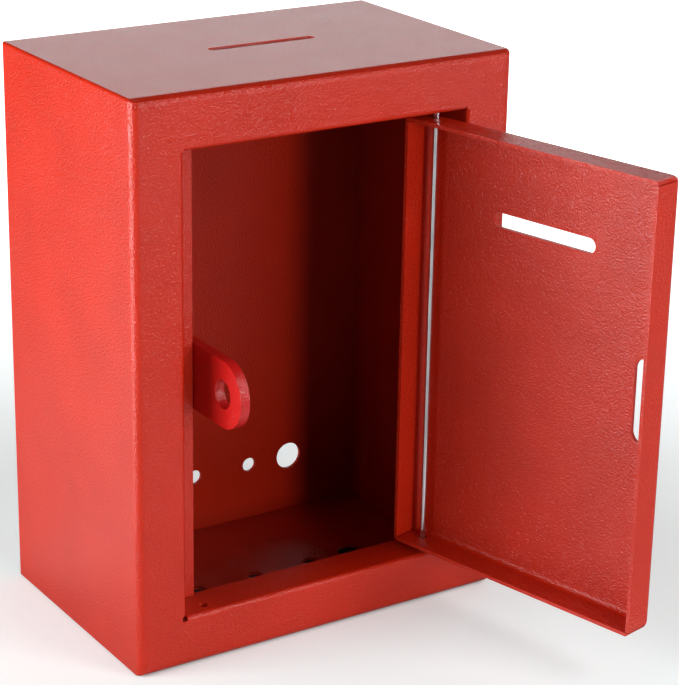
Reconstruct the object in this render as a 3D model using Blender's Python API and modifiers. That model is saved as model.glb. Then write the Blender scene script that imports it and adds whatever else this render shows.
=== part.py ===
"""Donation box: a folded and welded sheet-steel case with a framed opening, and a
padlockable tray door that swings on one long plated hinge rod.

The case stands on z = 0 with its back on y = 0, its front towards -Y and its left side
towards -X. The door is modelled closed, in the frame of its hinge axis, and then turned
open by DOOR_OPEN degrees, which is the pose it is built in.
"""

import math

import bmesh
import bpy
from mathutils import Matrix, Vector

MM = 0.001

# Driving dimensions.
CASE_WIDTH = 168.0 * MM
CASE_DEPTH = 107.0 * MM
CASE_HEIGHT = 230.0 * MM
SHEET = 1.5 * MM
BEND = 3.5 * MM            # outer radius of the folds between the front and its wings
SEAM_ROUND = 0.8 * MM      # dressed weld along the four side edges
GAP = 0.3 * MM             # between pieces that touch

# Opening in the front, and the flanges folded back from its edges.
FRAME_SIDE = 21.0 * MM
FRAME_END = 21.5 * MM
RETURN_BEND = 1.8 * MM
RETURN_RELIEF = 0.4 * MM   # slit between the ends of two flanges
SIDE_RETURN = 14.5 * MM
END_RETURN = 17.0 * MM
LIP_WIDTH = 11.2 * MM      # door stop, folded inwards from the left flange

# Coin slot in the top, and screw and cable holes in the back and the bottom.
COIN_SLOT = (48.0 * MM, 4.4 * MM)
COIN_SLOT_SHIFT = (3.5 * MM, 3.0 * MM)   # from the middle of the top
SCREW_HOLE = 6.3 * MM
CABLE_HOLE = 12.0 * MM
SCREW_HOLE_X = (-27.5 * MM, 0.0, 27.5 * MM)
CABLE_HOLE_X = (-48.0 * MM, 48.0 * MM)
BACK_HOLE_HEIGHT = 27.0 * MM

# Hinge: a rod behind the front face, near the right edge of the opening.
ROD_DIAMETER = 2.6 * MM
ROD_HOLE = 3.4 * MM
ROD_OVERRUN = 7.0 * MM     # length of rod past each case flange
AXIS_FROM_JAMB = 10.6 * MM
AXIS_DEPTH = 6.0 * MM
DOOR_OPEN = 103.0

# Door: a tray folded from one sheet.
DOOR_SIDE_GAP = 2.0 * MM
DOOR_END_GAP = 3.1 * MM
DOOR_DEPTH = 14.2 * MM
DOOR_BEND = 3.6 * MM
DOOR_CORNER = 2.0 * MM
NOTE_SLOT = (50.0 * MM, 6.0 * MM)
NOTE_SLOT_HEIGHT = 169.7 * MM
LOCK_SLOT = (9.0 * MM, 34.0 * MM)
CORNER_CUT = 0.4 * MM      # open seam between two flanges of the tray

# Padlock staple: a rounded ear through the door, welded behind the stop lip.
EAR_THICKNESS = 4.0 * MM
EAR_RADIUS = 13.5 * MM
EAR_HOLE = 11.6 * MM
EAR_CENTRE = 7.8 * MM      # in front of the case's front face
EAR_EDGE = 0.5 * MM
FOOT_LENGTH = 10.0 * MM
LOCK_HEIGHT = 115.0 * MM

ARC_STEPS = 5
HOLE_SIDES = 40

# Levels and places worked out from the dimensions above.
FRONT = -CASE_DEPTH
MIDDLE = -CASE_DEPTH / 2
OPENING_X = CASE_WIDTH / 2 - FRAME_SIDE
OPENING_LOW = FRAME_END
OPENING_HIGH = CASE_HEIGHT - FRAME_END
AXIS_X = OPENING_X - AXIS_FROM_JAMB
AXIS_Y = FRONT + AXIS_DEPTH
LIP_FRONT = FRONT + SIDE_RETURN
LIP_EDGE = -OPENING_X + LIP_WIDTH
DOOR_WIDTH = 2 * (OPENING_X - DOOR_SIDE_GAP)
DOOR_HEIGHT = OPENING_HIGH - OPENING_LOW - 2 * DOOR_END_GAP
DOOR_LOW = OPENING_LOW + DOOR_END_GAP

OBJECT_NAME = "donation_box"
CUTTERS_NAME = "cutters"


def clear_scene():
    for obj in list(bpy.data.objects):
        bpy.data.objects.remove(obj, do_unlink=True)


def collection(name):
    made = bpy.data.collections.new(name)
    bpy.context.scene.collection.children.link(made)
    return made


def material(name, colour, roughness, metallic):
    made = bpy.data.materials.new(name)
    made.use_nodes = True
    shader = made.node_tree.nodes["Principled BSDF"]
    shader.inputs["Base Color"].default_value = (*colour, 1.0)
    shader.inputs["Roughness"].default_value = roughness
    shader.inputs["Metallic"].default_value = metallic
    made.diffuse_color = (*colour, 1.0)
    return made


def new_object(name, bm, target):
    mesh = bpy.data.meshes.new(name)
    bm.to_mesh(mesh)
    bm.free()
    made = bpy.data.objects.new(name, mesh)
    bpy.data.collections[target].objects.link(made)
    return made


def box_mesh(low, high):
    """A closed box between two corners."""
    bm = bmesh.new()
    bmesh.ops.create_cube(bm, size=1.0)
    size = Vector(high) - Vector(low)
    middle = (Vector(high) + Vector(low)) / 2
    bmesh.ops.scale(bm, vec=size, verts=bm.verts)
    bmesh.ops.translate(bm, vec=middle, verts=bm.verts)
    return bm


def as_cutter(obj):
    obj.hide_render = True
    obj.display_type = "WIRE"
    return obj


def box_cutter(name, low, high):
    return as_cutter(new_object(name, box_mesh(low, high), CUTTERS_NAME))


def slot_cutter(name, centre, size, depth, normal):
    """A prism with round ends, size[0] wide and size[1] high, seen along normal.

    It is a cylinder whose two halves are pulled apart along the longer side.
    """
    width, height = size
    radius = min(size) / 2
    pull = (max(size) - min(size)) / 2
    bm = bmesh.new()
    bmesh.ops.create_cone(
        bm, cap_ends=True, segments=HOLE_SIDES, radius1=radius, radius2=radius, depth=depth
    )
    along = 0 if width >= height else 1
    # The first corner of the ring lies on the long axis, so no corner is at the middle.
    turn = Matrix.Rotation(math.pi / HOLE_SIDES, 3, "Z")
    bmesh.ops.rotate(bm, cent=(0, 0, 0), matrix=turn, verts=bm.verts)
    for vert in bm.verts:
        vert.co[along] += math.copysign(pull, vert.co[along])
    across = {"X": Matrix.Rotation(math.pi / 2, 3, "Y") @ Matrix.Rotation(math.pi / 2, 3, "Z"),
              "Y": Matrix.Rotation(math.pi / 2, 3, "X"),
              "Z": Matrix.Identity(3)}[normal]
    bmesh.ops.rotate(bm, cent=(0, 0, 0), matrix=across, verts=bm.verts)
    bmesh.ops.translate(bm, vec=centre, verts=bm.verts)
    bmesh.ops.recalc_face_normals(bm, faces=bm.faces)
    return as_cutter(new_object(name, bm, CUTTERS_NAME))


def hole_cutter(name, centre, diameter, depth, normal):
    return slot_cutter(name, centre, (diameter, diameter), depth, normal)


def cut(obj, cutter, operation="DIFFERENCE"):
    modifier = obj.modifiers.new(cutter.name, "BOOLEAN")
    modifier.operation = operation
    modifier.solver = "EXACT"
    modifier.object = cutter


def bevel_weighted(obj, width, segments):
    modifier = obj.modifiers.new("folds", "BEVEL")
    modifier.limit_method = "WEIGHT"
    modifier.offset_type = "OFFSET"
    modifier.width = width
    modifier.segments = segments
    modifier.use_clamp_overlap = True


def solidify(obj):
    modifier = obj.modifiers.new("sheet", "SOLIDIFY")
    modifier.thickness = SHEET
    modifier.offset = -1.0
    modifier.use_even_offset = True


def shade(obj):
    obj.data.shade_smooth()
    obj.data.set_sharp_from_angle(angle=math.radians(30))


def find_face(bm, normal):
    """The face whose outward normal is closest to the one given."""
    return max(bm.faces, key=lambda face: face.normal.dot(Vector(normal)))


def weigh(bm, rule):
    """Sets each edge's bevel weight to rule(edge)."""
    layer = bm.edges.layers.float.new("bevel_weight_edge")
    for edge in bm.edges:
        edge[layer] = rule(edge)


def open_box(low, high, missing):
    """A box without the face whose normal is given."""
    bm = box_mesh(low, high)
    bm.normal_update()
    bmesh.ops.delete(bm, geom=[find_face(bm, missing)], context="FACES_ONLY")
    return bm


def edge_between(bm, start, end):
    """The edge whose two ends lie at start and end."""
    near = 1e-6
    for edge in bm.edges:
        first, second = edge.verts[0].co, edge.verts[1].co
        if (first - start).length < near and (second - end).length < near:
            return edge
        if (second - start).length < near and (first - end).length < near:
            return edge
    raise ValueError("no edge between %s and %s" % (start, end))


def fold(bm, edge, steps):
    """Draws an edge out along steps, one strip of sheet for each of them."""
    for step in steps:
        out = bmesh.ops.extrude_edge_only(bm, edges=[edge])
        verts = [item for item in out["geom"] if isinstance(item, bmesh.types.BMVert)]
        bmesh.ops.translate(bm, vec=step, verts=verts)
        edge = next(item for item in out["geom"] if isinstance(item, bmesh.types.BMEdge)
                    and all(vert in verts for vert in item.verts))
    return edge


def bend_steps(start, end, radius):
    """Steps round a quarter turn, from the direction start to the direction end."""
    points = []
    for index in range(ARC_STEPS + 1):
        angle = index / ARC_STEPS * math.pi / 2
        points.append(radius * (math.sin(angle) * Vector(start)
                                + (1 - math.cos(angle)) * Vector(end)))
    return [after - before for before, after in zip(points, points[1:])]


def split_front(bm, axis, places):
    """Divides the front face where it crosses each place along an axis."""
    for place in places:
        front = [face for face in bm.faces if face.normal.y < -0.99]
        edges = {edge for face in front for edge in face.edges}
        verts = {vert for face in front for vert in face.verts}
        bmesh.ops.bisect_plane(bm, geom=front + list(edges) + list(verts), dist=1e-7,
                               plane_co=Vector(axis) * place, plane_no=axis)
        bm.normal_update()


def in_opening(face):
    """Whether a piece of the front is cut away. The two upper corners stay flat and square,
    and the lower ones are notched as far as the folds reach."""
    middle = face.calc_center_median()
    across = abs(middle.x)
    upper_corner = across > OPENING_X and middle.z > OPENING_HIGH
    return (face.normal.y < -0.99 and not upper_corner
            and across < OPENING_X + RETURN_BEND
            and OPENING_LOW - RETURN_BEND < middle.z < OPENING_HIGH + RETURN_BEND)


def frame_opening(bm):
    """Cuts the opening out of the front face, up to where its edges start to fold."""
    bm.normal_update()
    half_widths = (OPENING_X + RETURN_BEND, OPENING_X, OPENING_X - RETURN_RELIEF)
    split_front(bm, (1, 0, 0), [side * half for half in half_widths for side in (-1, 1)])
    split_front(bm, (0, 0, 1), (OPENING_LOW - RETURN_BEND, OPENING_LOW + RETURN_RELIEF,
                                OPENING_HIGH - RETURN_RELIEF, OPENING_HIGH,
                                OPENING_HIGH + RETURN_BEND))
    hole = [face for face in bm.faces if in_opening(face)]
    bmesh.ops.delete(bm, geom=hole, context="FACES")


def fold_returns(bm):
    """Folds the four flanges back from the opening, and the stop lip from the left one."""
    wide = OPENING_X + RETURN_BEND
    short = OPENING_X - RETURN_RELIEF
    back = Vector((0, 1, 0))
    for level, inwards in ((OPENING_LOW - RETURN_BEND, Vector((0, 0, 1))),
                           (OPENING_HIGH + RETURN_BEND, Vector((0, 0, -1)))):
        edge = edge_between(bm, Vector((-short, FRONT, level)), Vector((short, FRONT, level)))
        steps = bend_steps(inwards, back, RETURN_BEND)
        fold(bm, edge, steps + [back * (END_RETURN - RETURN_BEND)])
    low = OPENING_LOW + RETURN_RELIEF
    high = OPENING_HIGH - RETURN_RELIEF
    for side in (-1, 1):
        inwards = Vector((-side, 0, 0))
        edge = edge_between(bm, Vector((side * wide, FRONT, low)), Vector((side * wide, FRONT, high)))
        steps = bend_steps(inwards, back, RETURN_BEND)
        edge = fold(bm, edge, steps + [back * (SIDE_RETURN - RETURN_BEND)])
        if side < 0:
            fold(bm, edge, [inwards * LIP_WIDTH])


def make_case_shell(finish):
    """Front frame, sides, top and bottom: one blank, folded and welded at its corners."""
    half = CASE_WIDTH / 2
    bm = open_box((-half, FRONT, 0), (half, 0, CASE_HEIGHT), (0, 1, 0))
    near = 1e-6

    def weight(edge):
        if all(abs(vert.co.y - FRONT) < near for vert in edge.verts):
            return 1.0
        if abs(edge.verts[0].co.y - edge.verts[1].co.y) > near:
            return SEAM_ROUND / BEND
        return 0.0

    weigh(bm, weight)
    frame_opening(bm)
    fold_returns(bm)
    shell = new_object("case_shell", bm, OBJECT_NAME)
    bevel_weighted(shell, BEND, ARC_STEPS)
    solidify(shell)
    across, along = COIN_SLOT_SHIFT
    cut(shell, slot_cutter("coin_slot", (across, MIDDLE + along, CASE_HEIGHT), COIN_SLOT, 6 * SHEET, "Z"))
    for name, places, size in (("screw", SCREW_HOLE_X, SCREW_HOLE), ("cable", CABLE_HOLE_X, CABLE_HOLE)):
        for index, x in enumerate(places):
            cut(shell, hole_cutter(f"floor_{name}_hole_{index}", (x, MIDDLE, 0), size, 6 * SHEET, "Z"))
    for end, level in (("low", OPENING_LOW), ("high", OPENING_HIGH)):
        for side in (-1, 1):
            place = (side * AXIS_X, AXIS_Y, level)
            cut(shell, hole_cutter(f"rod_hole_{end}_{side}", place, ROD_HOLE, 6 * SHEET, "Z"))
    shell.data.materials.append(finish)
    return shell


def make_back_panel(finish):
    """Flat sheet let into the back of the shell, with the holes for the wall screws."""
    inset = SHEET + GAP
    low = (-CASE_WIDTH / 2 + inset, -SHEET, inset)
    high = (CASE_WIDTH / 2 - inset, 0, CASE_HEIGHT - inset)
    panel = new_object("back_panel", box_mesh(low, high), OBJECT_NAME)
    levels = (BACK_HOLE_HEIGHT, CASE_HEIGHT - BACK_HOLE_HEIGHT)
    for name, places, size in (("screw", SCREW_HOLE_X, SCREW_HOLE), ("cable", CABLE_HOLE_X, CABLE_HOLE)):
        for index, x in enumerate(places):
            for row, level in enumerate(levels):
                place = (x, 0, level)
                cut(panel, hole_cutter(f"back_{name}_hole_{index}_{row}", place, size, 6 * SHEET, "Y"))
    panel.data.materials.append(finish)
    return panel


def ear_outline():
    """Side view of the staple's ear, from its welded foot to its round tip, as (y, z)."""
    centre = FRONT - EAR_CENTRE
    back = LIP_FRONT + SHEET + GAP + EAR_THICKNESS
    points = [(back, LOCK_HEIGHT - EAR_RADIUS)]
    steps = 6 * ARC_STEPS
    for index in range(steps + 1):
        angle = -math.pi / 2 - index / steps * math.pi
        points.append((centre + EAR_RADIUS * math.cos(angle),
                       LOCK_HEIGHT + EAR_RADIUS * math.sin(angle)))
    points.append((back, LOCK_HEIGHT + EAR_RADIUS))
    return points


def flat_outline(name, points, thickness):
    """A flat plate in its own XY plane, as a mesh, from a filled 2D curve."""
    curve = bpy.data.curves.new(name, "CURVE")
    curve.dimensions = "2D"
    curve.fill_mode = "BOTH"
    curve.extrude = thickness / 2
    spline = curve.splines.new("POLY")
    spline.points.add(len(points) - 1)
    for point, (x, y) in zip(spline.points, points):
        point.co = (x, y, 0, 1)
    spline.use_cyclic_u = True
    outline = bpy.data.objects.new(name, curve)
    bpy.context.scene.collection.objects.link(outline)
    graph = bpy.context.evaluated_depsgraph_get()
    mesh = bpy.data.meshes.new_from_object(outline.evaluated_get(graph))
    bpy.data.objects.remove(outline, do_unlink=True)
    bm = bmesh.new()
    bm.from_mesh(mesh)
    bmesh.ops.remove_doubles(bm, verts=bm.verts, dist=1e-6)
    bmesh.ops.recalc_face_normals(bm, faces=bm.faces)
    return bm


def make_lock_staple(finish):
    """The ear that the padlock goes through, on a foot welded behind the stop lip."""
    left = LIP_EDGE + GAP
    bm = flat_outline("lock_staple", ear_outline(), EAR_THICKNESS)
    # The plate's own X becomes the depth, its Y the height and its thickness the width.
    stand = Matrix(((0, 0, 1), (1, 0, 0), (0, 1, 0)))
    bmesh.ops.transform(bm, matrix=stand.to_4x4(), verts=bm.verts)
    bmesh.ops.translate(bm, vec=(left + EAR_THICKNESS / 2, 0, 0), verts=bm.verts)
    bmesh.ops.recalc_face_normals(bm, faces=bm.faces)
    staple = new_object("lock_staple", bm, OBJECT_NAME)
    foot_front = LIP_FRONT + SHEET + GAP
    foot = box_cutter("staple_foot",
                      (left - FOOT_LENGTH, foot_front, LOCK_HEIGHT - EAR_RADIUS),
                      (left + EAR_THICKNESS / 2, foot_front + EAR_THICKNESS, LOCK_HEIGHT + EAR_RADIUS))
    cut(staple, foot, "UNION")
    place = (left, FRONT - EAR_CENTRE, LOCK_HEIGHT)
    cut(staple, hole_cutter("padlock_hole", place, EAR_HOLE, 4 * EAR_THICKNESS, "X"))
    edges = staple.modifiers.new("edges", "BEVEL")
    edges.limit_method = "ANGLE"
    edges.angle_limit = math.radians(60)
    edges.width = EAR_EDGE
    edges.segments = 2
    staple.data.materials.append(finish)
    return staple


def make_hinge_rod(finish):
    """Straight plated rod through the case's and the door's flanges."""
    low = OPENING_LOW - SHEET - ROD_OVERRUN
    high = OPENING_HIGH + SHEET + ROD_OVERRUN
    bm = bmesh.new()
    bmesh.ops.create_cone(bm, cap_ends=True, segments=24, radius1=ROD_DIAMETER / 2,
                          radius2=ROD_DIAMETER / 2, depth=high - low)
    bmesh.ops.translate(bm, vec=(0, 0, (high + low) / 2), verts=bm.verts)
    rod = new_object("hinge_rod", bm, OBJECT_NAME)
    rod.location = (AXIS_X, AXIS_Y, 0)
    shade(rod)
    rod.data.materials.append(finish)
    return rod


def door_seams(skin, rim, free, hinge):
    """Cutters for the open seams where the end flanges meet the side flanges."""
    made = []
    low, high = DOOR_LOW, DOOR_LOW + DOOR_HEIGHT
    inside = skin + DOOR_BEND
    for end, level in (("low", low + SHEET), ("high", high - SHEET - CORNER_CUT)):
        for side, near, far in (("free", free - SHEET, free + SHEET + GAP),
                                ("hinge", hinge - SHEET - GAP, hinge + SHEET)):
            made.append(box_cutter(f"seam_{end}_{side}", (near, inside, level),
                                   (far, rim + SHEET, level + CORNER_CUT)))
    return made


def make_door(finish):
    """Tray door with a note slot and a slot for the staple, its origin on the hinge axis."""
    hinge = OPENING_X - DOOR_SIDE_GAP - AXIS_X
    free = hinge - DOOR_WIDTH
    skin = -AXIS_DEPTH
    rim = skin + DOOR_DEPTH
    bm = open_box((free, skin, DOOR_LOW), (hinge, rim, DOOR_LOW + DOOR_HEIGHT), (0, 1, 0))
    near = 1e-6

    def weight(edge):
        if all(abs(vert.co.y - skin) < near for vert in edge.verts):
            return 1.0
        if abs(edge.verts[0].co.y - edge.verts[1].co.y) > near:
            return DOOR_CORNER / DOOR_BEND
        return 0.0

    weigh(bm, weight)
    door = new_object("door_panel", bm, OBJECT_NAME)
    bevel_weighted(door, DOOR_BEND, ARC_STEPS)
    solidify(door)
    cutters = [
        slot_cutter("note_slot", (-AXIS_X, skin, NOTE_SLOT_HEIGHT), NOTE_SLOT, 6 * SHEET, "Y"),
        slot_cutter("lock_slot", (lock_slot_centre(), skin, LOCK_HEIGHT), LOCK_SLOT, 6 * SHEET, "Y"),
        hole_cutter("rod_hole_bottom", (0, 0, DOOR_LOW), ROD_HOLE, 6 * SHEET, "Z"),
        hole_cutter("rod_hole_top", (0, 0, DOOR_LOW + DOOR_HEIGHT), ROD_HOLE, 6 * SHEET, "Z"),
    ]
    cutters += door_seams(skin, rim, free, hinge)
    swing = Matrix.Translation((AXIS_X, AXIS_Y, 0)) @ Matrix.Rotation(math.radians(DOOR_OPEN), 4, "Z")
    for cutter in cutters:
        cutter.matrix_world = swing
        cut(door, cutter)
    door.matrix_world = swing
    door.data.materials.append(finish)
    return door


def lock_slot_centre():
    """Place of the lock slot along the closed door, measured from the hinge axis.

    The ear leans out of the slot's arc as the door swings, so the slot is wider than
    the ear and reaches further out than it.
    """
    inner = LIP_EDGE + GAP + EAR_THICKNESS - AXIS_X
    return inner + 0.4 * MM - LOCK_SLOT[0] / 2 + GAP


def build():
    clear_scene()
    collection(OBJECT_NAME)
    collection(CUTTERS_NAME)
    paint = material("red_powder_coat", (0.55, 0.022, 0.012), 0.4, 0.0)
    inside = material("red_powder_coat_back", (0.50, 0.020, 0.011), 0.42, 0.0)
    ear = material("red_powder_coat_staple", (0.60, 0.018, 0.014), 0.35, 0.0)
    leaf = material("red_powder_coat_door", (0.55, 0.022, 0.012), 0.38, 0.0)
    plate = material("zinc_plated_steel", (0.72, 0.73, 0.74), 0.18, 1.0)
    make_case_shell(paint)
    make_back_panel(inside)
    make_lock_staple(ear)
    make_hinge_rod(plate)
    make_door(leaf)


build()
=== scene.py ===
"""Donation box with its door open: looks, floor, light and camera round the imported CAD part.

Metres, in the frame of the CAD part: the origin is the middle of the case's lower back edge,
x runs to the hinge side, y to the wall and z up.
"""

import math

import bmesh
import bpy
from mathutils import Matrix, Vector


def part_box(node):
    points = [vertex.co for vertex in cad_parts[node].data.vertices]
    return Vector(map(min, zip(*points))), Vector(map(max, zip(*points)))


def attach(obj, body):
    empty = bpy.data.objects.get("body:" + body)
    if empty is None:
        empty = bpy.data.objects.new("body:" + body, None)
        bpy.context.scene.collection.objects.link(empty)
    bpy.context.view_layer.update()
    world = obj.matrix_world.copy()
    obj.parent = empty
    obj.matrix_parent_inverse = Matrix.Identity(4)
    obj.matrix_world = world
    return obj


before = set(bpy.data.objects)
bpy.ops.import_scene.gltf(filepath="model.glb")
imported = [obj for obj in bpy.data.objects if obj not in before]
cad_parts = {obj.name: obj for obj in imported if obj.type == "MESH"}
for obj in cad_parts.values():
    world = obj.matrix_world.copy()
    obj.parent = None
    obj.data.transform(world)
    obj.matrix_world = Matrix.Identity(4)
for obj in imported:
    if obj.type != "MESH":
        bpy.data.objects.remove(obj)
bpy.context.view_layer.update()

MM = 0.001
case_low, case_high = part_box("case_shell")
back_low, back_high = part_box("back_panel")

# The case as part.py folds it.
SHEET = 1.5 * MM
BEND_RADIUS = 1.8 * MM
OPENING_X = 63.0 * MM
OPENING_TOP = 208.5 * MM
RELIEF_SLIT = 0.4 * MM


# ---------------------------------------------------------------- shader nodes

class Nodes:
    """A short way to add and link shader nodes."""

    def __init__(self, tree):
        self.tree = tree
        tree.nodes.clear()

    def add(self, kind, **settings):
        node = self.tree.nodes.new(kind)
        for key, value in settings.items():
            setattr(node, key, value)
        return node

    def link(self, source, target):
        self.tree.links.new(source, target)

    def feed(self, socket, value):
        """Sets a socket to a number, or links it to another node's output."""
        if isinstance(value, (int, float)):
            socket.default_value = value
        else:
            self.link(value, socket)

    def noise(self, vector, scale, detail, rough):
        """Noise from about 0.2 to 0.8, with `scale` cells to the metre."""
        node = self.add("ShaderNodeTexNoise", noise_dimensions="3D")
        node.inputs["Scale"].default_value = scale
        node.inputs["Detail"].default_value = detail
        node.inputs["Roughness"].default_value = rough
        self.link(vector, node.inputs["Vector"])
        return node.outputs["Fac"]

    def mapped(self, vector, scale=(1, 1, 1), location=(0, 0, 0)):
        node = self.add("ShaderNodeMapping")
        node.inputs["Scale"].default_value = scale
        node.inputs["Location"].default_value = location
        self.link(vector, node.inputs["Vector"])
        return node.outputs["Vector"]

    def axes(self, vector):
        node = self.add("ShaderNodeSeparateXYZ")
        self.link(vector, node.inputs["Vector"])
        return [node.outputs[axis] for axis in "XYZ"]

    def ramp(self, value, low, high, out_low=0.0, out_high=1.0, kind="LINEAR"):
        """Turns low..high into out_low..out_high, and holds the ends beyond them."""
        node = self.add("ShaderNodeMapRange", interpolation_type=kind)
        for name, number in (("From Min", low), ("From Max", high),
                             ("To Min", out_low), ("To Max", out_high)):
            node.inputs[name].default_value = number
        self.link(value, node.inputs["Value"])
        return node.outputs["Result"]

    def math(self, operation, first, second=0.0):
        node = self.add("ShaderNodeMath", operation=operation)
        self.feed(node.inputs[0], first)
        self.feed(node.inputs[1], second)
        return node.outputs["Value"]

    def mix(self, factor, first, second, mode="MIX"):
        """Mixes two colours, each a tuple or another node's output."""
        node = self.add("ShaderNodeMix", data_type="RGBA", blend_type=mode)
        self.feed(node.inputs["Factor"], factor)
        colours = [socket for socket in node.inputs if socket.type == "RGBA"]
        for socket, value in zip(colours, (first, second)):
            if isinstance(value, tuple):
                socket.default_value = (*value, 1.0)
            else:
                self.link(value, socket)
        return next(socket for socket in node.outputs if socket.type == "RGBA")

    def bump(self, height, distance, normal=None):
        node = self.add("ShaderNodeBump")
        node.inputs["Strength"].default_value = 1.0
        node.inputs["Distance"].default_value = distance
        self.link(height, node.inputs["Height"])
        if normal is not None:
            self.link(normal, node.inputs["Normal"])
        return node.outputs["Normal"]


def new_material(name):
    """A material, its nodes, its principled shader and the place of the shaded point."""
    made = bpy.data.materials.new(name)
    made.use_nodes = True
    n = Nodes(made.node_tree)
    out = n.add("ShaderNodeOutputMaterial")
    shader = n.add("ShaderNodeBsdfPrincipled")
    n.link(shader.outputs["BSDF"], out.inputs["Surface"])
    return made, n, shader, n.add("ShaderNodeTexCoord").outputs["Object"]


# ---------------------------------------------------------------- finishes

# Noise cells to the metre: clouds of colour, light specks that are partly random tone and partly
# painted glints of the grain, smudges of gloss, waves in the sheet, and the two sizes of orange
# peel.
CLOUDS, SPECKS, SMUDGES = 34.0, 900.0, 70.0
WAVES, LEATHER, PEEL = 26.0, 820.0, 1450.0
WAVE_HEIGHT, PEEL_HEIGHT, SPOT_HEIGHT = 0.00026, 0.00036, 0.00030

# A paint's whole roughness stays under about 0.27. Where it crosses that, the denoiser takes
# the rougher patches for another kind of surface and leaves marks like creases between them.
PAINT_ROUGHNESS = 0.225
ROUGHNESS_SPREAD = 0.04

RED = (0.55, 0.0205, 0.0045)
STAPLE_RED = (0.53, 0.0105, 0.0092)
# Painted shade inside the case: the paint there is made darker and a little less red.
INSIDE_PAINTED_SHADE = (0.76, 0.78, 0.82)

# Two weld pinholes, each a rim and a pit, and a drop of paint, on the left side under the top:
# millimetres back from the front, millimetres under the top, radius in millimetres, lift.
LEFT_SPOTS = (
    (74.5, 2.0, 1.0, 1.0), (74.5, 2.0, 0.5, -2.4),
    (56.2, 1.7, 1.0, 1.0), (56.2, 1.7, 0.5, -2.4),
    (40.1, 1.2, 1.1, 1.5),
)


def painted_shade_mask(n, position):
    """1 on the skins inside the case, beyond the stop lips, where the paint gets painted shade,
    and 0 on everything outside.
    """
    within = 0.7 * MM
    x, y, z = n.axes(position)
    deep = n.ramp(y, case_low.y + 7 * MM, case_low.y + 22 * MM)
    beside = n.math("LESS_THAN", n.math("ABSOLUTE", x), case_high.x - within)
    above = n.math("GREATER_THAN", z, case_low.z + within)
    below = n.math("LESS_THAN", z, case_high.z - within)
    before = n.math("LESS_THAN", y, case_high.y - within)
    mask = n.math("MULTIPLY", n.math("MULTIPLY", deep, beside), n.math("MULTIPLY", above, below))
    return n.math("MULTIPLY", mask, before)


def spot_height(n, position, spots):
    """Height of round spots on the case's left side, for a bump."""
    total = 0.0
    for back, under, radius, lift in spots:
        centre = (case_low.x, case_low.y + back * MM, case_high.z - under * MM)
        offset = n.mapped(position, location=tuple(-c for c in centre))
        length = n.add("ShaderNodeVectorMath", operation="LENGTH")
        n.link(offset, length.inputs[0])
        dome = n.ramp(length.outputs["Value"], 0.0, radius * MM, lift, 0.0, "SMOOTHSTEP")
        total = n.math("ADD", dome, total)
    return total


def powder_coat(name, colour, seed, peel=1.0, rough=PAINT_ROUGHNESS, painted_shade_inside=False, spots=()):
    """Semi-gloss powder coat: orange peel, slow waves in the sheet, and painted shade inside the
    case.
    """
    made, n, shader, position = new_material(name)
    place = n.mapped(position, location=(seed, seed * 0.37, seed * 1.91))

    darker = tuple(c * 0.93 for c in colour)
    lighter = tuple(min(1.0, c * 1.04) for c in colour)
    fleck_and_glint = tuple(min(1.0, c * 1.1 + 0.006) for c in colour)
    tone = n.mix(n.ramp(n.noise(place, CLOUDS, 3.0, 0.55), 0.32, 0.68), darker, lighter)
    # Light specks: partly random tone, partly painted glints of the orange peel.
    tone = n.mix(n.ramp(n.noise(place, SPECKS, 2.0, 0.6), 0.60, 0.78, 0.0, 0.10), tone, fleck_and_glint)
    # Painted shade: deep inside the case the colour is darkened and made a little less red.
    if painted_shade_inside:
        tone = n.mix(painted_shade_mask(n, position), tone, INSIDE_PAINTED_SHADE, "MULTIPLY")
    n.link(tone, shader.inputs["Base Color"])

    smudge = n.ramp(n.noise(place, SMUDGES, 4.0, 0.6), 0.3, 0.7, rough, rough + ROUGHNESS_SPREAD)
    n.link(smudge, shader.inputs["Roughness"])
    shader.inputs["IOR"].default_value = 1.5
    shader.inputs["Metallic"].default_value = 0.0

    # The film flows flatter on the top, which lay level in the oven.
    top = case_high.z
    flow = n.ramp(n.axes(position)[2], top - 1.2 * MM, top - 0.3 * MM, 1.0, 0.22)
    waves = n.math("MULTIPLY", n.noise(place, WAVES, 1.0, 0.4), flow)
    leather = n.math("MULTIPLY", n.noise(place, LEATHER, 1.0, 0.5), 0.5)
    grain = n.math("ADD", n.noise(place, PEEL, 1.0, 0.5), leather)
    normal = n.bump(waves, WAVE_HEIGHT)
    normal = n.bump(n.math("MULTIPLY", grain, flow), PEEL_HEIGHT * peel, normal)
    if spots:
        normal = n.bump(spot_height(n, position, spots), SPOT_HEIGHT, normal)
    n.link(normal, shader.inputs["Normal"])
    return made


def plated_wire(name):
    """Bright zinc-plated drawn wire: faint lengthwise die lines and a little haze."""
    made, n, shader, place = new_material(name)
    lines = n.noise(n.mapped(place, scale=(3200.0, 3200.0, 26.0)), 1.0, 3.0, 0.6)
    haze = n.noise(place, 120.0, 4.0, 0.6)
    tone = n.mix(n.ramp(haze, 0.3, 0.7), (0.62, 0.63, 0.65), (0.80, 0.80, 0.80))
    n.link(tone, shader.inputs["Base Color"])
    n.link(n.ramp(lines, 0.3, 0.7, 0.07, 0.16), shader.inputs["Roughness"])
    shader.inputs["Metallic"].default_value = 1.0
    n.link(n.bump(lines, 0.00002), shader.inputs["Normal"])
    return made


paint = powder_coat("red_powder_coat", RED, 0.0, painted_shade_inside=True, spots=LEFT_SPOTS)
paint_back = powder_coat("red_powder_coat_back", RED, 3.1, painted_shade_inside=True)
paint_staple = powder_coat("red_powder_coat_staple", STAPLE_RED, 5.3, peel=0.7, rough=0.22)
paint_door = powder_coat("red_powder_coat_door", RED, 7.7, peel=1.1)
wire = plated_wire("zinc_plated_steel")


# ---------------------------------------------------------------- the CAD pieces

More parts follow.
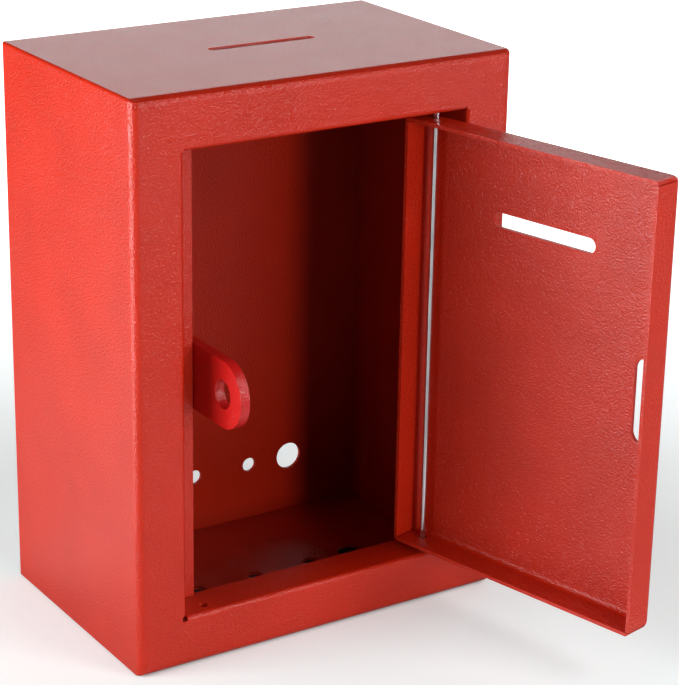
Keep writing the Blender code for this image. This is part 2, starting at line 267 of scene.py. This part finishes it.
def dress(node, material, edge):
    """Gives a CAD node its finish, and by modifiers a soft edge `edge` wide where it has one."""
    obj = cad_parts[node]
    mesh = obj.data
    # The shading that came with the CAD mesh would override the modifiers' normals.
    for name in ("custom_normal", "sharp_edge", "sharp_face"):
        layer = mesh.attributes.get(name)
        if layer is not None:
            mesh.attributes.remove(layer)
    mesh.shade_smooth()
    mesh.materials.clear()
    mesh.materials.append(material)
    weld = obj.modifiers.new("weld", "WELD")
    weld.merge_threshold = 0.002 * MM
    flat = obj.modifiers.new("flat", "DECIMATE")
    flat.decimate_type = "DISSOLVE"
    flat.angle_limit = math.radians(0.5)
    if edge:
        soft = obj.modifiers.new("edges", "BEVEL")
        soft.limit_method = "ANGLE"
        soft.angle_limit = math.radians(40)
        soft.width = edge
        soft.segments = 2
    normals = obj.modifiers.new("normals", "WEIGHTED_NORMAL")
    normals.keep_sharp = True


dress("case_shell", paint, 0.35 * MM)
dress("back_panel", paint_back, 0.3 * MM)
dress("lock_staple", paint_staple, 0.0)
dress("hinge_rod", wire, 0.25 * MM)
dress("door_panel", paint_door, 0.35 * MM)


# ---------------------------------------------------------------- welds, seams, drops of paint

def add_piece(name, data, body="case"):
    """A painted piece that rides on a body."""
    data.materials.clear()
    data.materials.append(paint)
    obj = bpy.data.objects.new(name, data)
    bpy.context.scene.collection.objects.link(obj)
    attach(obj, body)
    return obj


def seam_bead(name, y, radius):
    """A thin round bead round the back panel's edge, at depth y."""
    gap = 0.15 * MM
    side, low, high = back_high.x + gap, back_low.z - gap, back_high.z + gap
    corners = ((-side, low), (side, low), (side, high), (-side, high))
    line = bpy.data.curves.new(name, "CURVE")
    line.dimensions = "3D"
    spline = line.splines.new("POLY")
    spline.points.add(len(corners) - 1)
    for point, (x, z) in zip(spline.points, corners):
        point.co = (x, y, z, 1.0)
    spline.use_cyclic_u = True
    line.bevel_depth = radius
    line.bevel_resolution = 3
    add_piece(name, line)


def lump(name, blobs):
    """Blobs of weld metal or paint, merged and crumpled, each x, y, z and radius in mm.

    They stay inside the case's own box.
    """
    bm = bmesh.new()
    for x, y, z, radius in blobs:
        made = bmesh.ops.create_icosphere(bm, subdivisions=3, radius=radius * MM)
        bmesh.ops.translate(bm, vec=(x * MM, y * MM, z * MM), verts=made["verts"])
    mesh = bpy.data.meshes.new(name)
    bm.to_mesh(mesh)
    bm.free()
    obj = add_piece(name, mesh)
    fuse = obj.modifiers.new("fuse", "REMESH")
    fuse.mode = "VOXEL"
    fuse.voxel_size = 0.16 * MM
    fuse.use_smooth_shade = True
    rough = bpy.data.textures.new(name, "CLOUDS")
    rough.noise_scale = 0.9 * MM
    crumple = obj.modifiers.new("crumple", "DISPLACE")
    crumple.texture = rough
    crumple.strength = 0.45 * MM
    crumple.mid_level = 0.55
    smooth = obj.modifiers.new("smooth", "SMOOTH")
    smooth.factor = 0.5
    smooth.iterations = 3


def slit_outline():
    """The section of a bent flange, as (out from its face, deep from the front) pairs.

    It is the bend's quarter circle and a short straight, a touch inside the sheet's skins.
    """
    skin = 0.05 * MM
    straight = 0.5 * MM
    steps = 6
    rings = []
    for radius in (BEND_RADIUS - skin, BEND_RADIUS - SHEET + skin):
        ring = []
        for step in range(steps + 1):
            turn = step * math.pi / (2 * steps)
            ring.append((BEND_RADIUS - radius * math.sin(turn),
                         BEND_RADIUS - radius * math.cos(turn)))
        ring.append((BEND_RADIUS - radius, BEND_RADIUS + straight))
        rings.append(ring)
    outer, inner = rings
    return outer + inner[::-1]


def slit_fill(name, side, across_opening):
    """Paint and weld that close the bend's end of the slit between two of the frame's flanges.

    It fills the slit's width and reaches a little into the sheet on both sides.
    """
    overlap = 0.06 * MM
    outline = slit_outline()
    bm = bmesh.new()
    ends = []
    for step in (-overlap, RELIEF_SLIT + overlap):
        ring = []
        for out, deep in outline:
            if across_opening:
                place = (side * (OPENING_X - step), case_low.y + deep, OPENING_TOP + out)
            else:
                place = (side * (OPENING_X + out), case_low.y + deep, OPENING_TOP - step)
            ring.append(bm.verts.new(place))
        ends.append(ring)
    count = len(outline)
    for i in range(count):
        j = (i + 1) % count
        bm.faces.new((ends[0][i], ends[0][j], ends[1][j], ends[1][i]))
    for ring in ends:
        for i in range(count // 2 - 1):
            bm.faces.new((ring[i], ring[i + 1], ring[count - 2 - i], ring[count - 1 - i]))
    bmesh.ops.recalc_face_normals(bm, faces=bm.faces)
    mesh = bpy.data.meshes.new(name)
    bm.to_mesh(mesh)
    bm.free()
    mesh.shade_smooth()
    obj = add_piece(name, mesh)
    obj.modifiers.new("weighted", "WEIGHTED_NORMAL")


for side, word in ((-1, "left"), (1, "right")):
    slit_fill(f"slit_side_{word}", side, False)
    slit_fill(f"slit_top_{word}", side, True)

# Both beads lie a little below the panel's faces: they close the gap round its edge without
# catching a bright line of their own.
seam_bead("back_seam_inside", back_low.y + 0.60 * MM, 0.40 * MM)
seam_bead("back_seam_outside", back_high.y - 0.42 * MM, 0.36 * MM)

lump("corner_weld_top_left", ((-82.35, -105.35, 228.4, 1.35),
                              (-82.50, -105.60, 227.0, 1.15),
                              (-82.85, -104.80, 228.2, 0.95),
                              (-81.30, -105.60, 228.6, 0.95)))
lump("spatter_front", ((-68.7, -106.80, 213.0, 0.62),
                       (-68.1, -106.85, 212.5, 0.45),
                       (-65.4, -106.85, 212.6, 0.45)))


# ---------------------------------------------------------------- floor, light, camera

# The point that the lamps aim at, a little in front of the case's middle.
LIT = Vector((0.0, -0.07, 0.11))

# name, degrees round from the front, degrees up, metres off, width, height, watts
SOFT_LIGHTS = (
    ("front_slim", -4, 11, 1.5, 0.22, 0.34, 7.20),
    ("front_soft", 12, 22, 1.3, 0.40, 0.35, 2.20),
    ("front_low", 29, 9, 1.3, 0.24, 0.20, 3.00),
    ("front_high", 26, 40, 1.3, 0.40, 0.35, 3.10),
    ("backdrop_right", 115, 14, 1.8, 0.90, 0.90, 6.40),
    ("backdrop_behind", 150, 14, 1.8, 0.90, 0.90, 3.10),
)
# front_slim only tints the paint: its mirror image would show as a stripe in the front.
UNMIRRORED = ("front_slim",)
# name, degrees round, metres off, middle above the table, width, height, watts
KEY_LIGHTS = (
    ("key_far", -110, 0.75, 0.24, 0.18, 0.48, 1.50),
    ("key_low", -98, 0.75, 0.16, 0.34, 0.30, 1.30),
    ("key_high", -98, 0.75, 0.46, 0.34, 0.30, 1.60),
    ("key_side", -90, 0.75, 0.36, 0.34, 0.30, 1.65),
)
# name, place on the table, radius, watts: bright patches of the table top that the paint mirrors
TABLE_GLOWS = (
    ("glow_left", (-0.36, -0.05), 0.10, 0.204),
    ("glow_far_left", (-0.75, 0.12), 0.16, 7.20),
    ("glow_behind", (-0.14, 0.0), 0.045, 0.0095),
    ("glow_far_behind", (-0.21, 0.10), 0.07, 0.0274),
    ("glow_before", (0.05, -0.21), 0.06, 0.014),
)

FLOOR_SIZE = 9.0
FLOOR_DROP = 0.2 * MM
FLOOR_SHADE_INSET = 5 * MM
# What the camera sees of the floor: painted light of its own, none under the case, some beside it
# and more far away, so the floor gets darker towards the case.
FLOOR_GLOW = 0.34
FLOOR_GLOW_FAR = 1.0
# The first colour is painted shade under the case; the cool tint of the second cancels the red
# light that the case throws on the table.
FLOOR_PAINTED_SHADE, FLOOR_OPEN, FLOOR_BOUNCE = (0.03,) * 3, (0.70, 0.78, 0.78), (0.60,) * 3

# The photograph's view, solved from the case's straight edges.
CAMERA_PLACE = (-0.44882, -0.80238, 0.42897)
CAMERA_AZIMUTH, CAMERA_ELEVATION, CAMERA_ROLL = -33.1555, 20.2403, 1.0716
CAMERA_LENS, CAMERA_SENSOR = 119.66, 36.0


def from_front(azimuth, elevation):
    """The unit vector towards a direction given in degrees round from the front and up."""
    a, e = math.radians(azimuth), math.radians(elevation)
    return Vector((math.sin(a) * math.cos(e), -math.cos(a) * math.cos(e), math.sin(e)))


def beyond(n, value, low, high):
    """How far a coordinate lies outside low..high, and 0 between them."""
    off_middle = n.math("ABSOLUTE", n.math("SUBTRACT", value, (low + high) / 2))
    return n.math("MAXIMUM", n.math("SUBTRACT", off_middle, (high - low) / 2), 0.0)


def make_floor():
    """A plain pale table top: white where it is open, with painted shade where the case stands on
    it, and a cool tint against the red light that the case throws on it.
    """
    bpy.ops.mesh.primitive_plane_add(size=FLOOR_SIZE, location=(0, 0, -FLOOR_DROP))
    floor = bpy.context.object
    floor.name = "floor"
    made, n, shader, position = new_material("floor")
    x, y, _ = n.axes(position)
    inset = FLOOR_SHADE_INSET
    beside = beyond(n, x, case_low.x + inset, case_high.x - inset)
    before = beyond(n, y, case_low.y + inset, case_high.y - inset)
    away = n.math("SQRT", n.math("ADD", n.math("MULTIPLY", beside, beside),
                                 n.math("MULTIPLY", before, before)))
    seen = n.add("ShaderNodeLightPath").outputs["Is Camera Ray"]
    # Painted light for the camera: none under the case, growing with the distance from it.
    glow = n.math("ADD", n.ramp(away, 0.0, 0.005, 0.0, FLOOR_GLOW),
                  n.ramp(away, 0.10, 0.60, 0.0, FLOOR_GLOW_FAR))
    n.link(n.math("MULTIPLY", glow, seen), shader.inputs["Emission Strength"])
    # Painted shade: the table is dark where the case stands on it.
    table = n.mix(n.ramp(away, 0.0, 0.004), FLOOR_PAINTED_SHADE, FLOOR_OPEN)
    n.link(n.mix(seen, FLOOR_BOUNCE, table), shader.inputs["Base Color"])
    shader.inputs["Emission Color"].default_value = (1, 1, 1, 1)
    shader.inputs["Roughness"].default_value = 0.6
    shader.inputs["Specular IOR Level"].default_value = 0.10
    floor.data.materials.append(made)


def make_world():
    """A dim studio; what the camera sees of it is white."""
    world = bpy.data.worlds.new("studio")
    bpy.context.scene.world = world
    world.use_nodes = True
    n = Nodes(world.node_tree)
    out = n.add("ShaderNodeOutputWorld")
    back = n.add("ShaderNodeBackground")
    n.link(back.outputs["Background"], out.inputs["Surface"])
    seen = n.add("ShaderNodeLightPath").outputs["Is Camera Ray"]
    back.inputs["Color"].default_value = (1, 1, 1, 1)
    n.link(n.ramp(seen, 0.0, 1.0, 0.04, 1.2), back.inputs["Strength"])


def area_light(name, place, aim, size, power, shape="RECTANGLE"):
    """A lamp that the camera doesn't see."""
    lamp = bpy.data.lights.new(name, "AREA")
    lamp.shape = shape
    lamp.size, lamp.size_y = size
    lamp.energy = power
    obj = bpy.data.objects.new(name, lamp)
    bpy.context.scene.collection.objects.link(obj)
    obj.location = place
    obj.visible_camera = False
    obj.rotation_euler = (aim - place).to_track_quat("-Z", "Y").to_euler()
    return obj


def make_lights():
    for name, azimuth, elevation, off, width, tall, watts in SOFT_LIGHTS:
        place = LIT + from_front(azimuth, elevation) * off
        lamp = area_light(name, place, LIT, (width, tall), watts)
        lamp.visible_glossy = name not in UNMIRRORED
    for name, azimuth, off, level, width, tall, watts in KEY_LIGHTS:
        place = from_front(azimuth, 0) * off + Vector((0.0, LIT.y, level))
        area_light(name, place, LIT, (width, tall), watts)
    for name, (x, y), radius, watts in TABLE_GLOWS:
        place = Vector((x, y, 1 * MM))
        above = place + Vector((0, 0, 1))
        area_light(name, place, above, (2 * radius, 2 * radius), watts, "DISK")


def make_camera():
    lens = bpy.data.cameras.new("camera")
    obj = bpy.data.objects.new("camera", lens)
    bpy.context.scene.collection.objects.link(obj)
    back = from_front(CAMERA_AZIMUTH, CAMERA_ELEVATION)
    roll = math.radians(CAMERA_ROLL)
    right = (-back).cross(Vector((0, 0, 1))).normalized()
    up = right.cross(-back)
    across = right * math.cos(roll) + up * math.sin(roll)
    upright = -right * math.sin(roll) + up * math.cos(roll)
    turn = Matrix((across, upright, back)).transposed().to_4x4()
    obj.matrix_world = Matrix.Translation(CAMERA_PLACE) @ turn
    lens.sensor_width = CAMERA_SENSOR
    lens.lens = CAMERA_LENS
    lens.clip_start = 0.01
    lens.clip_end = 50.0
    bpy.context.scene.camera = obj


make_floor()
make_world()
make_lights()
make_camera()
bpy.context.scene.view_settings.view_transform = "Standard"
